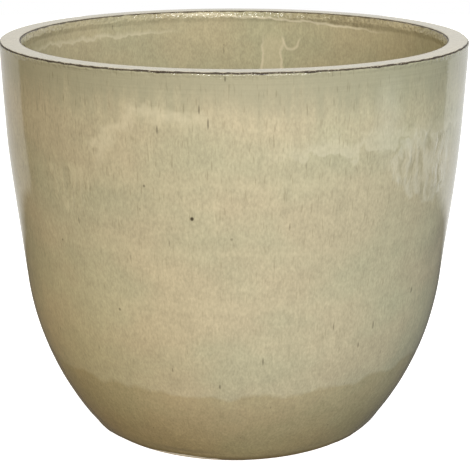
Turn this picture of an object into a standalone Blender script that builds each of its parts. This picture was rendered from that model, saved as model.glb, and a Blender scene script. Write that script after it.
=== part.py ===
"""Round glazed stoneware bonsai pot, in the pieces that the potter and the grower put together.

The pot stands on the XY plane with its axis on Z. The fired clay body carries three coats of glaze,
on the outside, the lip and the inside, which part along the two sharp edges of the lip and leave the
foot bare. A plastic mesh screen covers the drain hole from inside, and a bent wire clip pins it there.
Nothing on the pot moves. Metres, +Z up.
"""
import math

import bmesh
import bpy
from mathutils import Matrix, Vector
from mathutils.geometry import interpolate_bezier

# Driving dimensions, over the glaze
HEIGHT = 0.339
LIP_RADIUS = 0.200
WALL = 0.0176                 # wall thickness, seen as the width of the flat lip
BASE_RADIUS = 0.134           # where the wall meets the ground
BASE_SLOPE = math.radians(54)
BELLY = Vector((0.186, 0, 0.135))     # where the turned-in base becomes the nearly upright side
BELLY_SLOPE = math.radians(84.7)

# Base
FOOT_RING_WIDTH = 0.016
RECESS = 0.008                # underside of the base above the ground
FLOOR_TOP = 0.026
FLOOR_RADIUS = 0.105          # flat part of the planting floor
DRAIN_RADIUS = 0.017
DRAIN_CHAMFER = 0.0015

# Glaze
COAT = 0.0008
GAP = 0.0003                  # clearance between pieces that touch
BARE_EDGE = 0.0015            # clay left bare on each side of a lip edge
BARE_FOOT = 0.003             # clay left bare up the wall from the ground
BARE_DRAIN_RADIUS = 0.046     # clay left bare round the drain hole

# Drain screen and clip
SCREEN_CELLS = 7
SCREEN_PITCH = 0.0072
SCREEN_BAR = 0.0026
SCREEN_THICKNESS = 0.0014
WIRE_RADIUS = 0.001
WIRE_BEND = 0.003
CLIP_SPAN = 2 * SCREEN_PITCH          # from the middle of the screen to each leg
CLIP_TAIL = 0.012

STEPS_ROUND = 60
STEPS_CURVE = 8               # points on each curve of the wall
CLAY_DEPTH = COAT + GAP
CLAY_TOP = HEIGHT - CLAY_DEPTH


def curved_wall(foot, foot_handle, below_belly, belly, above_belly, lip_handle, lip):
    """Points from the foot to the lip, on two curves that share their slope at the belly."""
    along = Vector((math.cos(BELLY_SLOPE), 0, math.sin(BELLY_SLOPE)))
    lower = interpolate_bezier(foot, foot_handle, belly - along * below_belly, belly, STEPS_CURVE)
    upper = interpolate_bezier(belly, belly + along * above_belly, lip_handle, lip, STEPS_CURVE)
    return lower + upper[1:]


def outer_wall():
    """The finished outside, from the ground to the lip."""
    base = Vector((BASE_RADIUS, 0, 0))
    lip = Vector((LIP_RADIUS, 0, HEIGHT))
    return curved_wall(
        foot=base,
        foot_handle=base + 0.038 * Vector((math.cos(BASE_SLOPE), 0, math.sin(BASE_SLOPE))),
        below_belly=0.0606,
        belly=BELLY,
        above_belly=0.090,
        lip_handle=lip - Vector((0.0022, 0, 0.119)),
        lip=lip,
    )


def inner_wall():
    """The finished inside, from the edge of the flat floor to the lip, one wall inside the outside."""
    inward = Vector((-math.sin(BELLY_SLOPE), 0, math.cos(BELLY_SLOPE)))
    edge = Vector((FLOOR_RADIUS, 0, FLOOR_TOP))
    lip = Vector((LIP_RADIUS - WALL, 0, HEIGHT))
    return curved_wall(
        foot=edge,
        foot_handle=edge + Vector((0.025, 0, 0)),
        below_belly=0.0606,
        belly=BELLY + inward * WALL,
        above_belly=0.088,
        lip_handle=lip - Vector((0.0022, 0, 0.117)),
        lip=lip,
    )


def sunk(points, depth):
    """The outline moved sideways by a depth, mitred: to its left going along it, or to its right if negative."""
    lefts = []
    for start, end in zip(points, points[1:]):
        along = (end - start).normalized()
        lefts.append(Vector((-along.z, 0, along.x)))
    moved = []
    for point, before, after in zip(points, lefts[:1] + lefts, lefts + lefts[-1:]):
        mitre = (before + after) / (1 + before.dot(after))
        moved.append(point + mitre * depth)
    return moved


def trimmed(points, at_start, at_end):
    """The outline with its two ends drawn back along their own straight stretches."""
    points = [point.copy() for point in points]
    points[0] += (points[1] - points[0]).normalized() * at_start
    points[-1] += (points[-2] - points[-1]).normalized() * at_end
    return points


def material(name, colour, roughness, metallic=0.0):
    """A plain Principled finish."""
    finish = bpy.data.materials.new(name)
    finish.use_nodes = True
    shader = finish.node_tree.nodes["Principled BSDF"]
    shader.inputs["Base Color"].default_value = (*colour, 1)
    shader.inputs["Roughness"].default_value = roughness
    shader.inputs["Metallic"].default_value = metallic
    return finish


def add_object(name, bm, finish):
    """Puts a finished bmesh in the scene as one smooth-shaded piece."""
    bmesh.ops.recalc_face_normals(bm, faces=bm.faces)
    mesh = bpy.data.meshes.new(name)
    bm.to_mesh(mesh)
    bm.free()
    mesh.shade_smooth()
    mesh.set_sharp_from_angle(angle=math.radians(40))
    mesh.materials.append(finish)
    piece = bpy.data.objects.new(name, mesh)
    bpy.context.collection.objects.link(piece)
    return piece


def turned(name, section, finish):
    """A piece turned on the wheel: a closed section in the XZ plane, spun round Z."""
    bm = bmesh.new()
    verts = [bm.verts.new(point) for point in section]
    edges = [bm.edges.new((vert, verts[i - 1])) for i, vert in enumerate(verts)]
    bmesh.ops.spin(bm, geom=verts + edges, axis=(0, 0, 1), cent=(0, 0, 0),
                   angle=2 * math.pi, steps=STEPS_ROUND, use_merge=True)
    return add_object(name, bm, finish)


def coat(name, points, side, finish):
    """A glaze skin on an outline: side is 1 where the clay lies to the left of it, and -1 to the right."""
    return turned(name, points + sunk(points, side * COAT)[::-1], finish)


def clay_body(finish):
    """The thrown and trimmed stoneware: wall, floor, drain hole and foot ring."""
    outside = sunk(outer_wall(), CLAY_DEPTH)
    inside = sunk(inner_wall(), -CLAY_DEPTH)
    outside[-1].z = CLAY_TOP
    inside[-1].z = CLAY_TOP
    foot_inner = BASE_RADIUS - FOOT_RING_WIDTH
    clay_floor = inside[0].z
    section = [
        Vector((BASE_RADIUS - CLAY_DEPTH, 0, 0)),
        *outside,
        *reversed(inside),
        Vector((DRAIN_RADIUS + DRAIN_CHAMFER, 0, clay_floor)),
        Vector((DRAIN_RADIUS, 0, clay_floor - DRAIN_CHAMFER)),
        Vector((DRAIN_RADIUS, 0, RECESS + DRAIN_CHAMFER)),
        Vector((DRAIN_RADIUS + DRAIN_CHAMFER, 0, RECESS)),
        Vector((foot_inner - RECESS / 2, 0, RECESS)),
        Vector((foot_inner, 0, 0)),
    ]
    return turned("clay_body", section, finish)


def glaze_coats(finish):
    """The three skins of glaze: outside wall, flat lip, and inside wall with the floor."""
    coat("outer_glaze", trimmed(outer_wall(), BARE_FOOT, BARE_EDGE), 1, finish)
    lip = [Vector((LIP_RADIUS - BARE_EDGE, 0, HEIGHT)),
           Vector((LIP_RADIUS - WALL + BARE_EDGE, 0, HEIGHT))]
    coat("lip_glaze", lip, 1, finish)
    inside = [Vector((BARE_DRAIN_RADIUS, 0, FLOOR_TOP)), *inner_wall()]
    coat("inner_glaze", trimmed(inside, 0, BARE_EDGE), -1, finish)


def drain_screen(finish):
    """A square of moulded plastic mesh, lying on the bare floor round the drain hole."""
    bm = bmesh.new()
    half = SCREEN_CELLS * SCREEN_PITCH / 2
    bottom = FLOOR_TOP - CLAY_DEPTH + GAP
    bmesh.ops.create_grid(bm, x_segments=SCREEN_CELLS, y_segments=SCREEN_CELLS, size=half,
                          matrix=Matrix.Translation((0, 0, bottom)))
    cells = list(bm.faces)
    bmesh.ops.inset_individual(bm, faces=cells, thickness=SCREEN_BAR / 2)
    bmesh.ops.delete(bm, geom=cells, context="FACES")
    sheet = bmesh.ops.extrude_face_region(bm, geom=list(bm.faces), use_keep_orig=True)
    raised = [item for item in sheet["geom"] if isinstance(item, bmesh.types.BMVert)]
    bmesh.ops.translate(bm, verts=raised, vec=(0, 0, SCREEN_THICKNESS))
    return add_object("drain_screen", bm, finish)


def rounded(corners, radius, steps=4):
    """The corners joined by straight runs, each inner corner turned by an arc-like curve."""
    route = [corners[0]]
    for before, corner, after in zip(corners, corners[1:], corners[2:]):
        start = corner + (before - corner).normalized() * radius
        end = corner + (after - corner).normalized() * radius
        route += interpolate_bezier(start, start.lerp(corner, 0.55), end.lerp(corner, 0.55), end, steps)
    return route + [corners[-1]]


def screen_clip(finish):
    """A wire staple: across the screen, down two legs through the drain hole, and out under the floor."""
    screen_top = FLOOR_TOP - CLAY_DEPTH + GAP + SCREEN_THICKNESS
    over = screen_top + GAP + WIRE_RADIUS
    under = RECESS - GAP - WIRE_RADIUS
    right = [Vector((CLIP_SPAN, 0, over)), Vector((CLIP_SPAN, 0, under)),
             Vector((CLIP_SPAN + CLIP_TAIL, 0, under))]
    left = [Vector((-point.x, 0, point.z)) for point in reversed(right)]
    route = rounded(left + right, WIRE_BEND)
    wire = bpy.data.curves.new("screen_clip", "CURVE")
    wire.dimensions = "3D"
    wire.bevel_depth = WIRE_RADIUS
    wire.bevel_resolution = 2
    wire.use_fill_caps = True
    run = wire.splines.new("POLY")
    run.points.add(len(route) - 1)
    for point, place in zip(run.points, route):
        point.co = (*place, 1)
    wire.materials.append(finish)
    clip = bpy.data.objects.new("screen_clip", wire)
    bpy.context.collection.objects.link(clip)
    return clip


for old in list(bpy.data.objects):
    bpy.data.objects.remove(old)

clay_body(material("fired_stoneware", (0.42, 0.35, 0.26), 0.75))
glaze_coats(material("celadon_cream_glaze", (0.50, 0.45, 0.31), 0.12))
drain_screen(material("black_plastic_mesh", (0.02, 0.02, 0.02), 0.45))
screen_clip(material("aluminium_wire", (0.72, 0.70, 0.67), 0.35, metallic=1.0))
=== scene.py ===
import math

import bpy
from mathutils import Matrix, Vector


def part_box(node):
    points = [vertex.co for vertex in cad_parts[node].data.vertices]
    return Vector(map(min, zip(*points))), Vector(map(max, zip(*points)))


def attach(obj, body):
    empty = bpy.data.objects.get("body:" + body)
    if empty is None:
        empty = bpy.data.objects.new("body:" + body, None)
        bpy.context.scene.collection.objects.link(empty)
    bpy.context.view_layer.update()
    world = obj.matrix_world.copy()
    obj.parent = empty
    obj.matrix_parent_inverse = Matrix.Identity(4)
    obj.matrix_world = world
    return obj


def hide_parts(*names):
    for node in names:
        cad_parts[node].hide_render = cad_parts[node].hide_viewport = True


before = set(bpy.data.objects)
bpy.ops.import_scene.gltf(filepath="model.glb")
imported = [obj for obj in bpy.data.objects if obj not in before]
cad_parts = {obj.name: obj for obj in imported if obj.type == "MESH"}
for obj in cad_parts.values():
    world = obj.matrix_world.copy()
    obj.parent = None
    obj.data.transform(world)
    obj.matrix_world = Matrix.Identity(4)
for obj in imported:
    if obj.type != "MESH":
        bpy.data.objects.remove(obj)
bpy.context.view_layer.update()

# ---------------------------------------------------------------------------------------------
# Clay body: the fired stoneware that carries the glaze. It is thrown thick, its base is trimmed to
# a broad ring with a shallow recess, and the drain hole is cut while the clay is soft. It shows only
# as a brown line along the two edges of the lip, as a pale strip at the ground, and underneath.

lip_radius = 0.200
lip_width = 0.0176
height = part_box("lip_glaze")[1].z
coat = 0.0008                      # thickness of the glaze
bare_depth = 0.0011                # how far the clay lies under the finished surface
base = Vector((0.134, 0, 0))
base_lean = Vector((math.cos(math.radians(54)), 0, math.sin(math.radians(54))))
belly = Vector((0.186, 0, 0.135))
belly_lean = Vector((math.cos(math.radians(84.7)), 0, math.sin(math.radians(84.7))))
belly_inward = Vector((-belly_lean.z, 0, belly_lean.x))
base_reach = 0.038                 # how far each curve of the wall runs on straight: from the base,
under_belly = 0.0606               # down from the belly,
over_belly = 0.090                 # up from it outside,
over_belly_inside = 0.088          # up from it inside,
lip_flare = 0.0022                 # and out towards the lip
recess_top = 0.008
floor_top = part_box("inner_glaze")[0].z + coat
floor_radius = 0.105               # the flat part of the floor
floor_reach = 0.130                # how far the floor runs on level as it starts to curve up
drain_radius = 0.017
ring_inner = 0.118                 # inside of the foot ring
body_steps, coat_steps = 256, 360  # steps round the wheel, of the clay and of each coat


def outline(start, end, points, leave=None, arrive=None):
    """Draws one run of a turned section as a Bezier curve in the XZ plane, and makes it edges."""
    start, end = Vector(start), Vector(end)
    bpy.ops.object.select_all(action="DESELECT")
    bpy.ops.curve.primitive_bezier_curve_add()
    curve = bpy.context.object
    leave = Vector(leave) if leave else start.lerp(end, 1 / 3)
    arrive = Vector(arrive) if arrive else end.lerp(start, 1 / 3)
    for knot, place, handle in zip(curve.data.splines[0].bezier_points, (start, end), (leave, arrive)):
        knot.handle_left_type = knot.handle_right_type = "FREE"
        knot.co = place
        knot.handle_left = knot.handle_right = handle
    curve.data.resolution_u = points
    bpy.ops.object.convert(target="MESH")
    return bpy.context.object


def joined(name, runs):
    """Draws the runs and joins them end to end as one piece."""
    drawn = [outline(*run) for run in runs]
    for run in drawn:
        run.select_set(True)
    bpy.ops.object.join()
    piece = bpy.context.object
    piece.name = name
    bpy.ops.object.mode_set(mode="EDIT")
    bpy.ops.mesh.select_all(action="SELECT")
    bpy.ops.mesh.remove_doubles(threshold=0.00002)
    bpy.ops.object.mode_set(mode="OBJECT")
    return piece


def turned(name, runs, steps):
    """A closed section of runs, turned round Z as on the wheel."""
    piece = joined(name, runs)
    wheel = piece.modifiers.new("wheel", "SCREW")
    wheel.angle = 2 * math.pi
    wheel.steps = wheel.render_steps = steps
    wheel.use_merge_vertices = True
    wheel.merge_threshold = 0.00002
    bpy.ops.object.modifier_apply(modifier=wheel.name)
    bpy.ops.object.mode_set(mode="EDIT")
    bpy.ops.mesh.select_all(action="SELECT")
    bpy.ops.mesh.normals_make_consistent(inside=False)
    bpy.ops.object.mode_set(mode="OBJECT")
    bpy.ops.object.shade_smooth_by_angle(angle=math.radians(50))
    return piece


def wall_runs(depth, top, low_points, high_points):
    """The outside wall at a depth under the glaze, as two runs from the ground to a height."""
    foot = base + Vector((-depth, 0, 0))
    bend = belly + belly_inward * depth
    end = Vector((lip_radius - depth, 0, top))
    return [(foot, bend, low_points, foot + base_lean * base_reach, bend - belly_lean * under_belly),
            (bend, end, high_points, bend + belly_lean * over_belly, (end.x - lip_flare, 0, height - 0.119))]


# The corners of the section, from the foot up the outside, over the lip, and down the inside to the ground.
foot = base + Vector((-bare_depth, 0, 0))
outer_rise = Vector((lip_radius - bare_depth, 0, height - 0.0018))
outer_crest = (lip_radius - 0.0008, 0, height - 0.0003)
outer_land = (lip_radius - 0.0016, 0, height - bare_depth)
inner_rise = Vector((lip_radius - lip_width + bare_depth, 0, height - 0.0018))
inner_land = (inner_rise.x + 0.0006, 0, height - bare_depth)
inner_crest = (inner_rise.x - 0.0006, 0, height - 0.0005)
inner_bend = belly + belly_inward * (lip_width - bare_depth)
clay_floor = floor_top - bare_depth
floor_edge = (floor_radius, 0, clay_floor)
drain_rim = (drain_radius + 0.002, 0, clay_floor)
drain_top = (drain_radius, 0, clay_floor - 0.002)
drain_bottom = (drain_radius, 0, recess_top + 0.001)
recess_inner = (drain_radius + 0.001, 0, recess_top)
recess_outer = (ring_inner - 0.007, 0, recess_top)
ring_corner = (ring_inner, 0, 0.0006)
ring_ground = (ring_inner + 0.001, 0, 0)
clay = turned("clay", [
    *wall_runs(bare_depth, outer_rise.z, 40, 40),
    (outer_rise, outer_crest, 5,
     (lip_radius - 0.0004, 0, height - 0.0016), (lip_radius - 0.0004, 0, height - 0.0003)),
    (outer_crest, outer_land, 4,
     (lip_radius - 0.0011, 0, height - 0.0003), (lip_radius - 0.0015, 0, height - 0.0007)),
    (outer_land, inner_land, 6),
    (inner_land, inner_crest, 4,
     (inner_rise.x + 0.0002, 0, height - 0.0006), (inner_rise.x - 0.0002, 0, height - 0.0004)),
    (inner_crest, inner_rise, 5,
     (inner_rise.x - 0.0009, 0, height - 0.0006), (inner_rise.x - 0.0006, 0, inner_rise.z)),
    (inner_rise, inner_bend, 40,
     (inner_rise.x - lip_flare, 0, height - 0.117), inner_bend + belly_lean * over_belly_inside),
    (inner_bend, floor_edge, 30, inner_bend - belly_lean * under_belly, (floor_reach, 0, clay_floor)),
    (floor_edge, drain_rim, 20),
    (drain_rim, drain_top, 5, (drain_radius + 0.0008, 0, clay_floor), (drain_radius, 0, clay_floor - 0.0008)),
    (drain_top, drain_bottom, 5),
    (drain_bottom, recess_inner, 3,
     (drain_radius, 0, recess_top + 0.0004), (drain_radius + 0.0004, 0, recess_top)),
    (recess_inner, recess_outer, 20),
    (recess_outer, ring_corner, 8, (ring_inner - 0.003, 0, recess_top), (ring_inner - 0.0005, 0, 0.003)),
    (ring_corner, ring_ground, 3, (ring_inner + 0.0001, 0, 0.0002), (ring_inner + 0.0004, 0, 0)),
    (ring_ground, foot, 6),
], body_steps)


def colour(hex_code):
    """An sRGB hex colour as the linear RGBA that a shader wants."""
    parts = [int(hex_code[i:i + 2], 16) / 255 for i in (1, 3, 5)]
    return (*(p / 12.92 if p <= 0.04045 else ((p + 0.055) / 1.055) ** 2.4 for p in parts), 1)


def add(tree, kind, inputs, out=0, **settings):
    """Adds a shader node with its settings, fills its inputs with values or links, and gives one output.

    Inputs go by name, or by number where a node has several alike. On Map Range, 1 and 2 are the values
    that give 3 and 4, and those are 0 and 1 unless they are set. On Mix, 0 is the share, 6 and 7 the colours.
    """
    node = tree.nodes.new("ShaderNode" + kind)
    for name, value in settings.items():
        setattr(node, name, value)
    for name, value in inputs.items():
        if isinstance(value, bpy.types.NodeSocket):
            tree.links.new(value, node.inputs[name])
        else:
            node.inputs[name].default_value = value
    return node.outputs[out]


def finish(name, tone, roughness, ior=1.5):
    """A new Principled material of one colour, ready for more to be laid over it."""
    made = bpy.data.materials.new(name)
    made.use_nodes = True
    shader = made.node_tree.nodes["Principled BSDF"]
    made.node_tree.links.new(add(made.node_tree, "RGB", {}), shader.inputs["Base Color"])
    shader.inputs["Base Color"].links[0].from_socket.default_value = colour(tone)
    shader.inputs["Roughness"].default_value = roughness
    shader.inputs["IOR"].default_value = ior
    return made


def lay(tree, mask, tone, mode="MIX"):
    """Lays a colour over what a finish has so far, as far as the mask says."""
    target = tree.nodes["Principled BSDF"].inputs["Base Color"]
    tone = tone if isinstance(tone, bpy.types.NodeSocket) else colour(tone)
    tree.links.new(add(tree, "Mix", {0: mask, 6: target.links[0].from_socket, 7: tone}, out=2,
                       data_type="RGBA", blend_type=mode), target)


def overlap(tree, *masks):
    """How far a point lies in every one of the masks."""
    shared = masks[0]
    for mask in masks[1:]:
        shared = add(tree, "Math", {0: shared, 1: mask}, operation="MULTIPLY")
    return shared


# Fired stoneware: a dry, slightly sandy body. It fires pale where it is thick, and its iron burns to
# dark brown along the sharp edges of the lip, where the glaze has run off it.
stoneware = finish("fired_stoneware", "#C2B7A0", 0.75)
tree = stoneware.node_tree
place = add(tree, "TexCoord", {}, out="Object")
where = add(tree, "SeparateXYZ", {0: place}).node.outputs
up = where["Z"]
stain = add(tree, "TexNoise", {"Vector": place, "Scale": 1 / 0.025, "Detail": 3.0})
lay(tree, add(tree, "MapRange", {0: stain, 1: 0.4, 2: 0.65}), "#A89A80")
lay(tree, add(tree, "MapRange", {0: up, 1: height - 0.008, 2: height - 0.004}), "#30261D")
# The grit is a little under a millimetre, drawn at 1.6 mm so that it shows.
grit = add(tree, "TexNoise", {"Vector": place, "Scale": 1 / 0.0016, "Detail": 3.0})
lay(tree, add(tree, "MapRange", {0: grit, 1: 0.58, 2: 0.70, 4: 0.45}), "#7D6E55")
lay(tree, add(tree, "MapRange", {0: grit, 1: 0.42, 2: 0.30, 4: 0.40}), "#D6CDB9")
# The foot is wiped clean of glaze, and dries paler.
lay(tree, add(tree, "MapRange", {0: up, 1: 0.007, 2: 0.004, 4: 0.6}), "#DAD3C3")
# The trimming tool leaves rings underneath, and the kiln shelf leaves a toasted foot.
flat = add(tree, "CombineXYZ", {0: where["X"], 1: where["Y"]})
radius = add(tree, "VectorMath", {0: flat}, out="Value", operation="LENGTH")
outwards = add(tree, "CombineXYZ", {0: radius})
trimmed = add(tree, "TexNoise", {"Vector": outwards, "Scale": 1 / 0.0035, "Detail": 2.0})
lay(tree, add(tree, "MapRange", {0: trimmed, 1: 0.45, 2: 0.62, 4: 0.35}), "#94866C")
toasted = overlap(tree, add(tree, "MapRange", {0: stain, 1: 0.35, 2: 0.6, 3: 0.35, 4: 0.9}),
                  add(tree, "MapRange", {0: radius, 1: 0.110, 2: 0.122}),
                  add(tree, "MapRange", {0: up, 1: 0.0009, 2: 0.0003}))
lay(tree, toasted, "#8F6E48")
rough = add(tree, "Math", {0: trimmed, 1: 1.6, 2: grit}, operation="MULTIPLY_ADD")
tree.links.new(add(tree, "Bump", {"Height": rough, "Strength": 0.5, "Distance": 0.0004}),
               tree.nodes["Principled BSDF"].inputs["Normal"])
clay.data.materials.append(stoneware)
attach(clay, "root")
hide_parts("clay_body")

# ---------------------------------------------------------------------------------------------
# Outer glaze: a glossy celadon-cream glass, poured over the outside and run down in the kiln. It
# swells to a bead under the edge of the lip, breaks to brown on the edge itself, and stops in a
# wandering rolled edge just above the ground. A second, shorter dip leaves a tide line low down.

start = base + base_lean * 0.0012
back = base + Vector((-coat, 0, 0)) + base_lean * 0.0014
rolled = start + base_lean * 0.003         # where the rolled edge at the foot becomes the plain wall
bead = (lip_radius + 0.0003, 0, height - 0.0024)
bead_top = (lip_radius - 0.0005, 0, height - 0.0012)
low_wall, high_wall = wall_runs(0, height - 0.0055, 74, 100)
back_low, back_high = wall_runs(coat, height - 0.0030, 10, 10)
outer = turned("outer_coat", [
    (back, rolled, 6, back + Vector((0.0004, 0, -0.0002)), start + Vector((0.0007, 0, 0.0003))),
    (rolled, low_wall[1], 74, low_wall[3], low_wall[4]),
    high_wall,
    (high_wall[1], bead, 5, (lip_radius, 0, height - 0.0044), (bead[0], 0, height - 0.0032)),
    (bead, bead_top, 6, (bead[0], 0, height - 0.0016), (lip_radius, 0, bead_top[2])),
    (bead_top, back_high[1], 3),
    (back_high[1], back_high[0], 10, back_high[4], back_high[3]),
    (back_low[1], back, 10, back_low[4], back_low[3]),
], coat_steps)


def relief(piece, weight, size, stretch, strength, direction="NORMAL", depth=2):
    """Raises or sinks a piece by cloudy noise of a size in metres, stretched along XY or Z."""
    group = piece.vertex_groups.new(name="relief")
    for vertex in piece.data.vertices:
        share = weight(vertex)
        if share > 0:
            group.add([vertex.index], min(share, 1), "REPLACE")
    noise = bpy.data.textures.new(piece.name + "_relief", "CLOUDS")
    noise.noise_scale = 1.0
    noise.noise_depth = depth
    bpy.ops.object.empty_add()
    ruler = bpy.context.object
    ruler.scale = (size * stretch[0], size * stretch[0], size * stretch[1])
    bpy.context.view_layer.update()
    bpy.ops.object.select_all(action="DESELECT")
    bpy.context.view_layer.objects.active = piece
    wave = piece.modifiers.new("relief", "DISPLACE")
    wave.texture = noise
    wave.texture_coords = "OBJECT"
    wave.texture_coords_object = ruler
    wave.vertex_group = group.name
    wave.direction = direction
    wave.strength = strength
    bpy.ops.object.modifier_apply(modifier=wave.name)
    bpy.data.objects.remove(ruler)
    piece.vertex_groups.remove(piece.vertex_groups[0])


def ramp(value, low_end, high_end):
    """0 at one end, 1 at the other, smooth between."""
    t = min(max((value - low_end) / (high_end - low_end), 0), 1)
    return t * t * (3 - 2 * t)


def outward(vertex):
    """1 on the side of a coat that faces away from the axis, fading out at its two ends."""
    faces_out = vertex.normal.xy.dot(vertex.co.xy.normalized()) > 0.15
    return faces_out * ramp(vertex.co.z, 0.002, 0.012) * ramp(height - vertex.co.z, 0.001, 0.006)


# The thrown wall is uneven under its glaze: broad swells, small ones, and fine rings higher up. At the
# foot the edge of the glaze wanders up and down.
relief(outer, outward, 0.110, (1, 0.8), 0.0014)
relief(outer, outward, 0.022, (1, 1.5), 0.00020)
relief(outer, lambda v: outward(v) * ramp(v.co.z, 0.20, 0.33), 0.0045, (30, 1), 0.00012)
relief(outer, lambda v: ramp(0.012 - v.co.z, 0, 0.006), 0.030, (1, 1), 0.0022, "Z", 3)
# From the front round to the left the glaze stops higher, and leaves a crescent of clay bare.
crescent = 0.0013
for vertex in outer.data.vertices:
    turned_left = math.degrees(math.atan2(-vertex.co.x, -vertex.co.y))
    bare = ramp(turned_left, 3, 7) * ramp(42 - turned_left, 0, 20)
    vertex.co.z += crescent * bare * ramp(0.014 - vertex.co.z, 0, 0.008)


def glaze(name, warm, green, seed):
    """The glass: drifts of warm cream and grey-green, mottled, and peppered with iron."""
    made = finish(name, warm, 0.1, ior=1.52)
    tree = made.node_tree
    shader = tree.nodes["Principled BSDF"]
    place = add(tree, "TexCoord", {}, out="Object")
    place = add(tree, "Mapping", {"Vector": place, "Location": (seed, seed, 0.0)})

    def drift(size_mm, squash, detail=3.0):
        """Noise of a size, drawn out along Z if squash is below 1 and flattened if it is above."""
        flat = add(tree, "Mapping", {"Vector": place, "Scale": (1.0, 1.0, squash)})
        return add(tree, "TexNoise", {"Vector": flat, "Scale": 1000 / size_mm, "Detail": detail})

    lay(tree, add(tree, "MapRange", {0: drift(90, 1.4), 1: 0.40, 2: 0.62}), green)
    # Each scale of mottling: size, squash, and how far it lightens and darkens.
    mottles = ((38, 1.9, 0.038), (11, 1.1, 0.032), (5, 0.08, 0.032), (3.6, 0.50, 0.045), (1.5, 0.5, 0.115))
    for size, squash, depth in mottles:
        shade = add(tree, "MapRange", {0: drift(size, squash), 1: 0.3, 2: 0.7, 3: 1 - depth, 4: 1 + depth})
        lay(tree, 1.0, add(tree, "CombineColor", {0: shade, 1: shade, 2: shade}), "MULTIPLY")
    # Iron: dark dots about a millimetre across, and short dashes drawn down the wall. Each is a cell of
    # some size and squash with a speck in its middle, of a share of the cell, and most cells stay empty.
    for size, squash, reach in ((17, 1.0, 0.050), (6, 0.16, 0.070)):
        cell = add(tree, "Mapping", {"Vector": place, "Scale": (1.0, 1.0, squash)})
        cell = add(tree, "TexVoronoi", {"Vector": cell, "Scale": 1000 / size}).node.outputs
        chance = add(tree, "SeparateColor", {0: cell["Color"]})
        speck = overlap(tree, add(tree, "MapRange", {0: cell["Distance"], 1: reach * 1.7, 2: reach * 0.7}),
                        add(tree, "MapRange", {0: chance, 1: 0.72, 2: 1.0, 4: 0.6}))
        lay(tree, speck, "#4A4130")
    tree.links.new(add(tree, "Bump", {"Height": drift(6, 0.4, 2.0), "Strength": 0.2, "Distance": 0.0004}),
                   shader.inputs["Normal"])
    tree.links.new(add(tree, "MapRange", {0: drift(30, 0.7, 2.0), 1: 0.3, 2: 0.7, 3: 0.03, 4: 0.07}),
                   shader.inputs["Roughness"])
    return made


def emboss(tree, bump, mask, depth):
    """Adds a relief too fine for the mesh: a noise, as far as the mask says, of a depth in metres."""
    target = tree.nodes["Principled BSDF"].inputs["Normal"]
    high = add(tree, "Math", {0: bump, 1: 0.5}, operation="SUBTRACT")
    high = add(tree, "Math", {0: high, 1: mask}, operation="MULTIPLY")
    tree.links.new(add(tree, "Bump", {"Height": high, "Strength": 1.0, "Distance": depth,
                                      "Normal": target.links[0].from_socket}), target)


def spot(tree, wall, centre, half):
    """How far each point is from a place on a wall: 1 on an ellipse of those half sizes."""
    off = (-centre[0] / half[0], -centre[1] / half[1], 0)
    scaled = add(tree, "Mapping", {"Vector": wall, "Location": off, "Scale": (1 / half[0], 1 / half[1], 0)})
    return add(tree, "VectorMath", {0: scaled}, out="Value", operation="LENGTH")


def streaked(tree, wall, long_mm, high_mm, detail):
    """Noise on the unrolled wall, of one size in millimetres along it and another up it."""
    scaled = add(tree, "Mapping", {"Vector": wall, "Scale": (1000 / long_mm, 1000 / high_mm, 1)})
    return add(tree, "TexNoise", {"Vector": scaled, "Scale": 1.0, "Detail": detail})


def stripe(tree, value, rise, fall, strength=1.0):
    """A mask that comes up between the two values of rise, and goes down between the two of fall."""
    return overlap(tree, add(tree, "MapRange", {0: value, 1: rise[0], 2: rise[1], 4: strength}),
                   add(tree, "MapRange", {0: value, 1: fall[0], 2: fall[1]}))


def waver(tree, line, noise, low, high, spread=0.2):
    """Makes a line uneven: the noise moves it between two distances in metres."""
    shift = add(tree, "MapRange", {0: noise, 1: 0.5 - spread, 2: 0.5 + spread, 3: low, 4: high})
    return add(tree, "Math", {0: line, 1: shift}, operation="ADD")


outside = glaze("celadon_cream_glaze", "#AFA58B", "#A9A48A", 0.0)
tree = outside.node_tree
place = add(tree, "TexCoord", {}, out="Object")
where = add(tree, "SeparateXYZ", {0: place}).node.outputs
up = where["Z"]
# The wall unrolled: along it from the front, and up it, both in metres, and the same a little shaken.
frontwards = add(tree, "Math", {0: where["Y"], 1: -1.0}, operation="MULTIPLY")
turn = add(tree, "Math", {0: where["X"], 1: frontwards}, operation="ARCTAN2")
along = add(tree, "Math", {0: turn, 1: lip_radius}, operation="MULTIPLY")
unrolled = add(tree, "CombineXYZ", {0: along, 1: up})
shake = add(tree, "TexNoise", {"Vector": place, "Scale": 1 / 0.028, "Detail": 3.0}, out="Color")
swing = Vector((0.022, 0.022, 0))
shaken = add(tree, "VectorMath", {0: shake, 1: swing, 2: unrolled}, operation="MULTIPLY_ADD")
shaken = add(tree, "VectorMath", {0: shaken, 1: swing / 2}, operation="SUBTRACT")
sideways = add(tree, "SeparateXYZ", {0: shaken}, out="X")
height_shaken = add(tree, "SeparateXYZ", {0: shaken}, out="Y")
# Thicker, greyer glass runs down from the lip in streaks, and a fine dark rain goes lower.
streaks = streaked(tree, unrolled, 5.5556, 71.4286, 3.0)
run_down = waver(tree, height_shaken, streaks, -0.008, 0.008)
lay(tree, add(tree, "MapRange", {0: run_down, 1: 0.300, 2: 0.327, 4: 0.80}), "#97947D")
rain = streaked(tree, unrolled, 1.5625, 13.3333, 1.0)
rain = overlap(tree, add(tree, "MapRange", {0: rain, 1: 0.62, 2: 0.74, 4: 0.45}),
               add(tree, "MapRange", {0: up, 1: 0.08, 2: 0.30, 3: 0.35}))
lay(tree, rain, "#7A7158")
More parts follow.
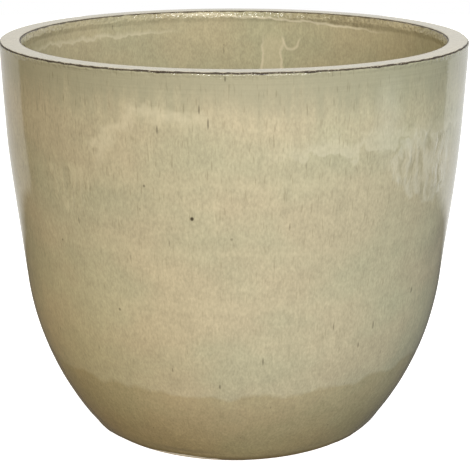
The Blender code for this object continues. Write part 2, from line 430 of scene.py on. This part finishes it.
# The upper pour: a pale lobe to the left of the front, and a scalloped pale edge to the right of it.
tear = add(tree, "TexNoise", {"Vector": unrolled, "Scale": 1 / 0.015, "Detail": 3.0}, out="Color")
torn = add(tree, "VectorMath", {0: tear, 1: (0.030, 0.030, 0), 2: shaken}, operation="MULTIPLY_ADD")
torn_up = add(tree, "SeparateXYZ", {0: torn}, out="Y")
slope = add(tree, "Math", {0: sideways, 1: -0.45, 2: up}, operation="MULTIPLY_ADD")
lobe = spot(tree, torn, (-0.042, 0.278), (0.054, 0.047))
lobe = overlap(tree, stripe(tree, lobe, (0.76, 0.97), (1.14, 1.01)),
               add(tree, "MapRange", {0: slope, 1: 0.300, 2: 0.325, 4: 0.36}))
lay(tree, lobe, "#CFC6AC")
scallops = overlap(tree, stripe(tree, torn_up, (0.2900, 0.2920), (0.3050, 0.2935)),
                   stripe(tree, sideways, (0.02, 0.06), (0.50, 0.40), 0.30))
lay(tree, scallops, "#CDC6B0")
# A thick, milky patch on the right, drawn into ridges, and a few fainter creases on the left.
ridges = streaked(tree, shaken, 6.6667, 22.2222, 3.0)
patch = add(tree, "Math", {0: spot(tree, torn, (0.188, 0.272), (0.048, 0.022)),
                           1: spot(tree, torn, (0.208, 0.263), (0.026, 0.028))}, operation="MINIMUM")
patch = add(tree, "MapRange", {0: patch, 1: 1.05, 2: 0.90})
crests = add(tree, "MapRange", {0: ridges, 1: 0.35, 2: 0.65, 3: 0.02, 4: 0.42})
lay(tree, overlap(tree, patch, crests), "#D3CFC0")
lay(tree, overlap(tree, patch, add(tree, "MapRange", {0: ridges, 1: 0.46, 2: 0.36, 4: 0.30})), "#8C8872")
creases = spot(tree, shaken, (-0.143, 0.243), (0.026, 0.018))
creases = add(tree, "MapRange", {0: creases, 1: 1.3, 2: 0.9})
lay(tree, overlap(tree, creases, add(tree, "MapRange", {0: ridges, 1: 0.48, 2: 0.66, 4: 0.42})), "#CDC3A6")
# Faint level bands: each is sharp and pale along its lower edge, fades upwards, and is weaker at the left.
at_left = add(tree, "MapRange", {0: where["X"], 1: -0.12, 2: -0.07, 3: 0.3})
bands = ((0.296, 0.020, 0.08), (0.248, 0.016, 0.18), (0.196, 0.013, 0.16), (0.152, 0.011, 0.20))
for level, reach, strength in bands:
    band = stripe(tree, height_shaken, (level, level + 0.0025), (level + reach, level + 0.002), strength)
    lay(tree, overlap(tree, band, at_left), "#C3B99C")
# The second dip: below a scalloped tide line the glass is thinner, and more olive.
tide_line = 0.076
lay(tree, add(tree, "MapRange", {0: height_shaken, 1: tide_line + 0.002, 2: tide_line - 0.002}), "#EFEADF",
    "MULTIPLY")
lay(tree, add(tree, "MapRange", {0: height_shaken, 1: 0.068, 2: 0.012}), "#E4E0D1", "MULTIPLY")
# A thumb's breadth of paler glass high up, to the right of the front.
smear = spot(tree, shaken, (0.126, 0.298), (0.017, 0.036))
lay(tree, add(tree, "MapRange", {0: smear, 1: 1.2, 2: 0.4, 4: 0.13}), "#D2CFC3")
# To the left the glass is yellower low down, partly its own tone and partly painted warm light from that
# side; high up on the left it is darkened by painted shade; to the right it is greyer, partly its own tone
# and partly painted cool shade.
low = add(tree, "MapRange", {0: height_shaken, 1: 0.22, 2: 0.10})
high = add(tree, "MapRange", {0: height_shaken, 1: 0.18, 2: 0.26})
leftward = add(tree, "MapRange", {0: where["X"], 1: 0.0, 2: -0.13})
# Painted warm light, with some real warmth of the glass: yellower low on the left.
lay(tree, overlap(tree, low, leftward), "#FCF4E7", "MULTIPLY")
# Painted shade: darker high up on the left.
lay(tree, overlap(tree, high, leftward), "#F0EFED", "MULTIPLY")
# Partly painted cool shade, partly grey glass: greyer to the right.
lay(tree, add(tree, "MapRange", {0: where["X"], 1: 0.02, 2: 0.13}), "#F4F8F7", "MULTIPLY")
# It is darkest in the rolled edge at the foot, and breaks to burnt brown on the edge of the lip.
lay(tree, add(tree, "MapRange", {0: up, 1: 0.007, 2: 0.002, 4: 0.85}), "#5A4C2E")
burnt = "#2E241C"
uneven = add(tree, "TexNoise", {"Vector": unrolled, "Scale": 1 / 0.012, "Detail": 2.0})
broken = waver(tree, up, uneven, -0.0008, 0.0004)
lay(tree, add(tree, "MapRange", {0: broken, 1: height - 0.0019, 2: height - 0.0013}), burnt)
# Fine relief: ridges in the milky patch and the creases, throwing rings and a lumpy bead under the lip.
emboss(tree, ridges, add(tree, "Math", {0: patch, 1: creases}, operation="MAXIMUM"), 0.0009)
rings = streaked(tree, unrolled, 125, 3.0303, 2.0)
emboss(tree, rings, add(tree, "MapRange", {0: up, 1: 0.305, 2: 0.325}), 0.0003)
lumps = add(tree, "TexNoise", {"Vector": place, "Scale": 1 / 0.0035, "Detail": 2.0})
emboss(tree, lumps, add(tree, "MapRange", {0: up, 1: 0.3335, 2: 0.3360}), 0.0012)
# The iron marks that can be told one from another: each place on the unrolled wall, and its half sizes.
# The broadest is the darkest.
marks = (((-0.0319, 0.2288), (0.0013, 0.0014)), ((-0.0690, 0.2521), (0.0009, 0.0010)),
         ((-0.0993, 0.1472), (0.0010, 0.0012)), ((-0.0125, 0.0863), (0.0008, 0.0020)),
         ((0.1144, 0.1127), (0.0007, 0.0022)), ((0.1288, 0.1275), (0.0006, 0.0030)),
         ((-0.0187, 0.3015), (0.0007, 0.0036)), ((-0.0252, 0.3116), (0.0006, 0.0030)),
         ((0.0248, 0.1094), (0.0006, 0.0030)), ((-0.0063, 0.3343), (0.0006, 0.0018)),
         ((-0.0570, 0.2955), (0.0006, 0.0030)), ((0.1771, 0.1467), (0.0008, 0.0025)))
for centre, half in marks:
    dark = 0.9 if half[0] > 0.001 else 0.5
    mark = spot(tree, unrolled, centre, half)
    lay(tree, add(tree, "MapRange", {0: mark, 1: 1.4, 2: 0.7, 4: dark}), "#2E2618")
outer.data.materials.append(outside)
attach(outer, "root")
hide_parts("outer_glaze")

# ---------------------------------------------------------------------------------------------
# Lip glaze: the same glass, lying level on the flat land of the lip. It is wiped thinner here and smoother
# than on the walls, and is paler, partly from the thinner glass and partly as painted light on its up-facing
# top. It pulls back from both edges as it melts.

lip_outer = lip_radius - 0.0008
lip_inner = lip_radius - lip_width + 0.0007
outer_shoulder = (lip_outer - 0.0008, 0, height)
inner_shoulder = (lip_inner + 0.0020, 0, height - 0.0001)
outer_under = (lip_outer, 0, height - 0.0008)
inner_under = (lip_inner, 0, height - 0.0009)
lip = turned("lip_coat", [
    (outer_under, outer_shoulder, 4, (lip_outer, 0, height - 0.0003), (lip_outer - 0.0004, 0, height)),
    (outer_shoulder, inner_shoulder, 14),
    (inner_shoulder, inner_under, 6,
     (lip_inner + 0.0010, 0, height - 0.0001), (lip_inner, 0, height - 0.0004)),
    (inner_under, outer_under, 4),
], coat_steps)
# Paler tones than the walls: partly the thinner glass, partly painted light on the up-facing lip.
thin_and_lit_lip_glaze = glaze("celadon_cream_glaze_on_lip", "#B6AF9B", "#B2AD9B", 0.7)
tree = thin_and_lit_lip_glaze.node_tree
where = add(tree, "SeparateXYZ", {0: add(tree, "TexCoord", {}, out="Object")}).node.outputs
flat = add(tree, "CombineXYZ", {0: where["X"], 1: where["Y"]})
radius = add(tree, "VectorMath", {0: flat}, out="Value", operation="LENGTH")
uneven = add(tree, "TexNoise", {"Vector": flat, "Scale": 1 / 0.008, "Detail": 2.0})
broken = waver(tree, radius, uneven, -0.0006, 0.0004)
lay(tree, add(tree, "MapRange", {0: broken, 1: lip_outer - 0.0006, 2: lip_outer - 0.0001}), burnt)
lip.data.materials.append(thin_and_lit_lip_glaze)
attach(lip, "root")
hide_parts("lip_glaze")

# ---------------------------------------------------------------------------------------------
# Inner glaze: poured in, swilled round and tipped out, so it is thinner and darker, with pale runs.
# It rolls over to a bead just under the lip. The floor is bare round the drain hole.

inner_top = Vector((lip_radius - lip_width, 0, height))
inner_bend = belly + belly_inward * lip_width
back_top = Vector((inner_top.x + coat, 0, height - 0.0030))
back_bend = belly + belly_inward * (lip_width - coat)
back_floor = floor_top - coat
bare_radius = 0.046                # clay left bare round the drain hole
crown = (inner_top.x + 0.0003, 0, height - 0.0009)
bead_top = (inner_top.x - 0.0006, 0, height - 0.0022)
bead = (inner_top.x - 0.0015, 0, height - 0.0060)
bead_end = (inner_top.x - 0.0004, 0, height - 0.0120)
inner = turned("inner_coat", [
    (crown, bead_top, 6, (inner_top.x - 0.0002, 0, height - 0.0010), (bead_top[0], 0, height - 0.0016)),
    (bead_top, bead, 10,
     (inner_top.x - 0.0010, 0, height - 0.0034), (inner_top.x - 0.0013, 0, height - 0.0048)),
    (bead, bead_end, 12,
     (inner_top.x - 0.0018, 0, height - 0.0075), (inner_top.x - 0.0003, 0, height - 0.0100)),
    (bead_end, inner_bend, 76,
     (inner_top.x - lip_flare, 0, height - 0.110), inner_bend + belly_lean * over_belly_inside),
    (inner_bend, (floor_radius, 0, floor_top), 46,
     inner_bend - belly_lean * under_belly, (floor_reach, 0, floor_top)),
    ((floor_radius, 0, floor_top), (bare_radius + 0.001, 0, floor_top), 20),
    ((bare_radius + 0.001, 0, floor_top), (bare_radius, 0, back_floor), 4,
     (bare_radius + 0.0003, 0, floor_top), (bare_radius, 0, floor_top - 0.0004)),
    ((bare_radius, 0, back_floor), (floor_radius, 0, back_floor), 3),
    ((floor_radius, 0, back_floor), back_bend, 8,
     (floor_reach, 0, back_floor), back_bend - belly_lean * under_belly),
    (back_bend, back_top, 8,
     back_bend + belly_lean * over_belly_inside, (back_top.x - lip_flare, 0, height - 0.117)),
    (back_top, crown, 3),
], coat_steps)


def inward(vertex):
    """1 on the side of a coat that faces the axis or up, fading out at the lip."""
    faces_in = vertex.normal.xy.dot(vertex.co.xy.normalized()) < -0.15 or vertex.normal.z > 0.5
    return faces_in * ramp(height - vertex.co.z, 0.0012, 0.006)


# Broad swells in the wall, and a lumpy bead.
relief(inner, inward, 0.090, (1, 0.8), 0.0012)
relief(inner, lambda v: inward(v) * ramp(v.co.z, height - 0.014, height - 0.006), 0.007, (1.6, 1), 0.0009)
poured = glaze("celadon_cream_glaze_inside", "#AEA486", "#A8A386", 0.4)
tree = poured.node_tree
place = add(tree, "TexCoord", {}, out="Object")
where = add(tree, "SeparateXYZ", {0: place}).node.outputs
up = where["Z"]
uneven = add(tree, "TexNoise", {"Vector": place, "Scale": 1 / 0.012, "Detail": 2.0})
broken = waver(tree, up, uneven, -0.0005, 0.0005)
lay(tree, add(tree, "MapRange", {0: broken, 1: height - 0.0018, 2: height - 0.0011}), "#4F4638")
bead_low = height - 0.0060
lumps = add(tree, "TexNoise", {"Vector": place, "Scale": 1 / 0.004, "Detail": 3.0})
emboss(tree, lumps, add(tree, "MapRange", {0: up, 1: bead_low - 0.0025, 2: bead_low}), 0.0024)
# On the far side a cream highlight is painted along the bead's lower edge. Above that edge, which climbs
# to the left, painted shade darkens the hollows between its lumps towards the right.
far = add(tree, "MapRange", {0: where["Y"], 1: 0.0, 2: 0.05})
bead_edge_line = add(tree, "Math", {0: where["X"], 1: 0.055, 2: up}, operation="MULTIPLY_ADD")
bead_edge_line = waver(tree, bead_edge_line, uneven, -0.001, 0.001)
# Painted shade: darker in the hollows between the lumps of the far bead.
bead_hollows_painted_shade = overlap(tree, add(tree, "MapRange", {0: bead_edge_line, 1: bead_low, 2: bead_low + 0.0015}),
                stripe(tree, where["X"], (0.045, 0.075), (0.15, 0.12), 0.55),
                add(tree, "MapRange", {0: lumps, 1: 0.62, 2: 0.42}), far)
lay(tree, bead_hollows_painted_shade, "#7A7054")
# Painted highlight: a cream line along the lower edge of the far bead.
bead_edge_painted_highlight = stripe(tree, bead_edge_line, (bead_low - 0.0012, bead_low), (bead_low + 0.0022, bead_low + 0.0008), 0.6)
bead_edge_painted_highlight = overlap(tree, bead_edge_painted_highlight, stripe(tree, where["X"], (-0.08, -0.04), (0.15, 0.11)), far)
lay(tree, bead_edge_painted_highlight, "#E2D9BF")
# Runs on the far side: a broad pale one between two thin ones, a looped one, and a level wavy one.
pale_run = "#DCD0B4"
face = add(tree, "CombineXYZ", {0: waver(tree, where["X"], uneven, -0.0015, 0.0015), 1: up})
under = add(tree, "MapRange", {0: up, 1: 0.3190, 2: 0.3080})
broad = spot(tree, face, (0.0385, 0.270), (0.0110, 0.060))
broad = add(tree, "MapRange", {0: broad, 1: 1.05, 2: 0.90, 4: 0.30})
lay(tree, overlap(tree, broad, far, under), "#D3C6A6")
for side in (0.0290, 0.0480):
    thin = spot(tree, face, (side, 0.270), (0.0015, 0.060))
    thin = add(tree, "MapRange", {0: thin, 1: 1.4, 2: 0.5, 4: 0.42})
    lay(tree, overlap(tree, thin, far, under), pale_run)
loop = spot(tree, face, (0.0570, 0.3130), (0.0095, 0.0120))
loop = overlap(tree, stripe(tree, loop, (0.80, 0.95), (1.15, 1.0)),
               add(tree, "MapRange", {0: up, 1: 0.3150, 2: 0.3090, 4: 0.45}), far)
lay(tree, loop, pale_run)
level = waver(tree, up, uneven, -0.004, 0.004, spread=0.3)
wavy = overlap(tree, stripe(tree, level, (0.3170, 0.3185), (0.3230, 0.3190)),
               add(tree, "MapRange", {0: where["X"], 1: -0.05, 2: -0.09, 4: 0.45}), far)
lay(tree, wavy, "#D6CDB2")
inner.data.materials.append(poured)
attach(inner, "root")
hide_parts("inner_glaze")

# ---------------------------------------------------------------------------------------------
# Drain screen: a square of moulded black plastic mesh, seven cells a side, cut with scissors from a
# sheet. It lies on the bare floor over the drain hole, and keeps the soil in.

cells = 7
bar = 0.0026                       # width of the bars between the cells
screen_low, screen_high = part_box("drain_screen")
bpy.ops.object.select_all(action="DESELECT")
bpy.ops.mesh.primitive_grid_add(x_subdivisions=cells, y_subdivisions=cells, size=screen_high.x - screen_low.x,
                                location=(0, 0, screen_low.z))
screen = bpy.context.object
screen.name = "screen"
bpy.ops.object.transform_apply(location=True, rotation=False, scale=False)
bpy.ops.object.mode_set(mode="EDIT")
bpy.ops.mesh.select_all(action="SELECT")
bpy.ops.mesh.inset(thickness=bar / 2, use_individual=True)
bpy.ops.mesh.delete(type="FACE")
bpy.ops.object.mode_set(mode="OBJECT")
thicken = screen.modifiers.new("thickness", "SOLIDIFY")
thicken.thickness = screen_high.z - screen_low.z
thicken.offset = 1
bpy.ops.object.modifier_apply(modifier=thicken.name)
round_off = screen.modifiers.new("moulded_edges", "BEVEL")
round_off.width = 0.0004
round_off.segments = 3
bpy.ops.object.modifier_apply(modifier=round_off.name)
bpy.ops.object.shade_smooth_by_angle(angle=math.radians(40))
plastic = finish("black_plastic_mesh", "#1C1C1D", 0.42)
tree = plastic.node_tree
scuffs = add(tree, "TexNoise", {"Vector": add(tree, "TexCoord", {}, out="Object"), "Scale": 1 / 0.004,
                                "Detail": 4.0})
lay(tree, add(tree, "MapRange", {0: scuffs, 1: 0.55, 2: 0.75, 4: 0.25}), "#4A4743")
screen.data.materials.append(plastic)
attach(screen, "root")
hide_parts("drain_screen")

# ---------------------------------------------------------------------------------------------
# Screen clip: soft aluminium wire, bent over the screen, down through the drain hole on both sides,
# and outwards under the floor, so that the screen can't shift when the pot is filled.

wire = 0.001                       # half its thickness
clip_low, clip_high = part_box("screen_clip")
over, under = clip_high.z - wire, clip_low.z + wire
leg, tail = 0.0144, clip_high.x
bend = 0.003                       # radius of each bend
ease = bend * 0.45                 # how near each handle of a bend comes to its corner
clip = joined("clip", [
    run for side in (-1, 1) for run in (
        ((0, 0, over), (side * (leg - bend), 0, over), 4),
        ((side * (leg - bend), 0, over), (side * leg, 0, over - bend), 8,
         (side * (leg - ease), 0, over), (side * leg, 0, over - ease)),
        ((side * leg, 0, over - bend), (side * leg, 0, under + bend), 6),
        ((side * leg, 0, under + bend), (side * (leg + bend), 0, under), 8,
         (side * leg, 0, under + ease), (side * (leg + ease), 0, under)),
        ((side * (leg + bend), 0, under), (side * tail, 0, under), 4),
    )])
bpy.ops.object.convert(target="CURVE")
clip.data.bevel_depth = wire
clip.data.bevel_resolution = 5
clip.data.use_fill_caps = True
bpy.ops.object.convert(target="MESH")
clip = bpy.context.object
bpy.ops.object.shade_smooth_by_angle(angle=math.radians(40))
aluminium = finish("aluminium_wire", "#C9C7C2", 0.32)
aluminium.node_tree.nodes["Principled BSDF"].inputs["Metallic"].default_value = 1.0
clip.data.materials.append(aluminium)
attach(clip, "root")
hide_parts("screen_clip")

# ---------------------------------------------------------------------------------------------
# Studio: a white backdrop behind the pot that ends above the table, a dimmer room round it, warm on
# the left and cool on the right, a pale floor, three soft boxes in front and one behind.

world = bpy.data.worlds.new("studio")
bpy.context.scene.world = world
world.use_nodes = True
tree = world.node_tree
toward = add(tree, "SeparateXYZ", {0: add(tree, "TexCoord", {}, out="Generated")}).node.outputs
heading = add(tree, "CombineXYZ", {0: toward["X"], 1: toward["Y"]})
heading = add(tree, "VectorMath", {0: heading}, operation="NORMALIZE")
ahead = add(tree, "SeparateXYZ", {0: heading}, out="Y")
backdrop = overlap(tree, add(tree, "MapRange", {0: ahead, 1: 0.55, 2: 0.59}),
                   add(tree, "MapRange", {0: toward["Z"], 1: -0.325, 2: -0.298}))
side = add(tree, "MapRange", {0: toward["X"], 1: -0.8, 2: 0.8})
# How bright each part of the studio is, at the left and at the right, as linear light.
brightness = {"room": ((0.63, 0.53, 0.345, 1), (0.59, 0.61, 0.62, 1)),
              "table": ((0.53, 0.45, 0.30, 1), (0.30, 0.31, 0.34, 1)),
              "white": ((0.70, 0.68, 0.62, 1), (0.94, 0.94, 0.93, 1))}
part = {}
for name, (left, right) in brightness.items():
    part[name] = add(tree, "Mix", {0: side, 6: left, 7: right}, out=2, data_type="RGBA")
above = add(tree, "MapRange", {0: toward["Z"], 1: -0.35, 2: 0.0})
room = add(tree, "Mix", {0: above, 6: part["table"], 7: part["room"]}, out=2, data_type="RGBA")
# A glaze mirrors the room more faintly than the room lights it, so that the backdrop's reflection stands out.
ray = add(tree, "LightPath", {}).node.outputs
mirrored = add(tree, "Mix", {0: ray["Is Glossy Ray"], 6: (1, 1, 1, 1), 7: (0.31, 0.31, 0.33, 1)}, out=2,
               data_type="RGBA")
room = add(tree, "Mix", {0: 1.0, 6: room, 7: mirrored}, out=2, data_type="RGBA", blend_type="MULTIPLY")
lit = add(tree, "Mix", {0: backdrop, 6: room, 7: part["white"]}, out=2, data_type="RGBA")
seen = add(tree, "Mix", {0: ray["Is Camera Ray"], 6: lit, 7: (1, 1, 1, 1)}, out=2, data_type="RGBA")
tree.links.new(seen, tree.nodes["Background"].inputs["Color"])


def soft_box(name, place, target, size, power, tint):
    """A square soft light aimed at a point, of a size in metres and a power in watts."""
    bpy.ops.object.light_add(type="AREA", location=place)
    lamp = bpy.context.object
    lamp.name = name
    lamp.data.size = size
    lamp.data.energy = power
    lamp.data.color = tint
    lamp.visible_camera = False
    lamp.rotation_euler = (Vector(target) - Vector(place)).to_track_quat("-Z", "Y").to_euler()


soft_box("key_light", (0.60, -2.6, 1.1), (0, 0, 0.15), 1.6, 49, (1.0, 0.99, 0.98))
soft_box("glint_light", (0.8, -2.0, 1.60), (0, 0, 0.3), 0.30, 12, (1.0, 1.0, 1.0))
soft_box("rim_light", (-0.60, -2.0, 1.65), (0, 0.15, 0.33), 0.32, 14, (1.0, 0.99, 0.96))
soft_box("back_light", (0.3, 2.6, 0.30), (0, 0, 0.17), 0.8, 24, (1.0, 0.99, 0.97))
bpy.context.object.visible_glossy = False

# The floor glows a little, so that it is as white as the backdrop, and doesn't show in the glaze.
bpy.ops.mesh.primitive_plane_add(size=6, location=(0, 0, -0.0005))
floor = bpy.context.object
floor.name = "floor"
paper = finish("white_paper", "#E6E6E6", 0.9)
shader = paper.node_tree.nodes["Principled BSDF"]
shader.inputs["Emission Color"].default_value = (1, 1, 1, 1)
shader.inputs["Emission Strength"].default_value = 0.85
floor.data.materials.append(paper)
floor.visible_glossy = False
floor.visible_diffuse = False

# Camera: a little above the lip, looking down at the front of the pot.
eye = (0.0008, -1.0702, 0.4822)
downward = 16.86                   # degrees below level
bpy.ops.object.camera_add(location=eye, rotation=(math.radians(90 - downward), 0, 0))
bpy.context.object.data.lens = 94.35
bpy.context.scene.camera = bpy.context.object
bpy.context.scene.view_settings.view_transform = "Standard"
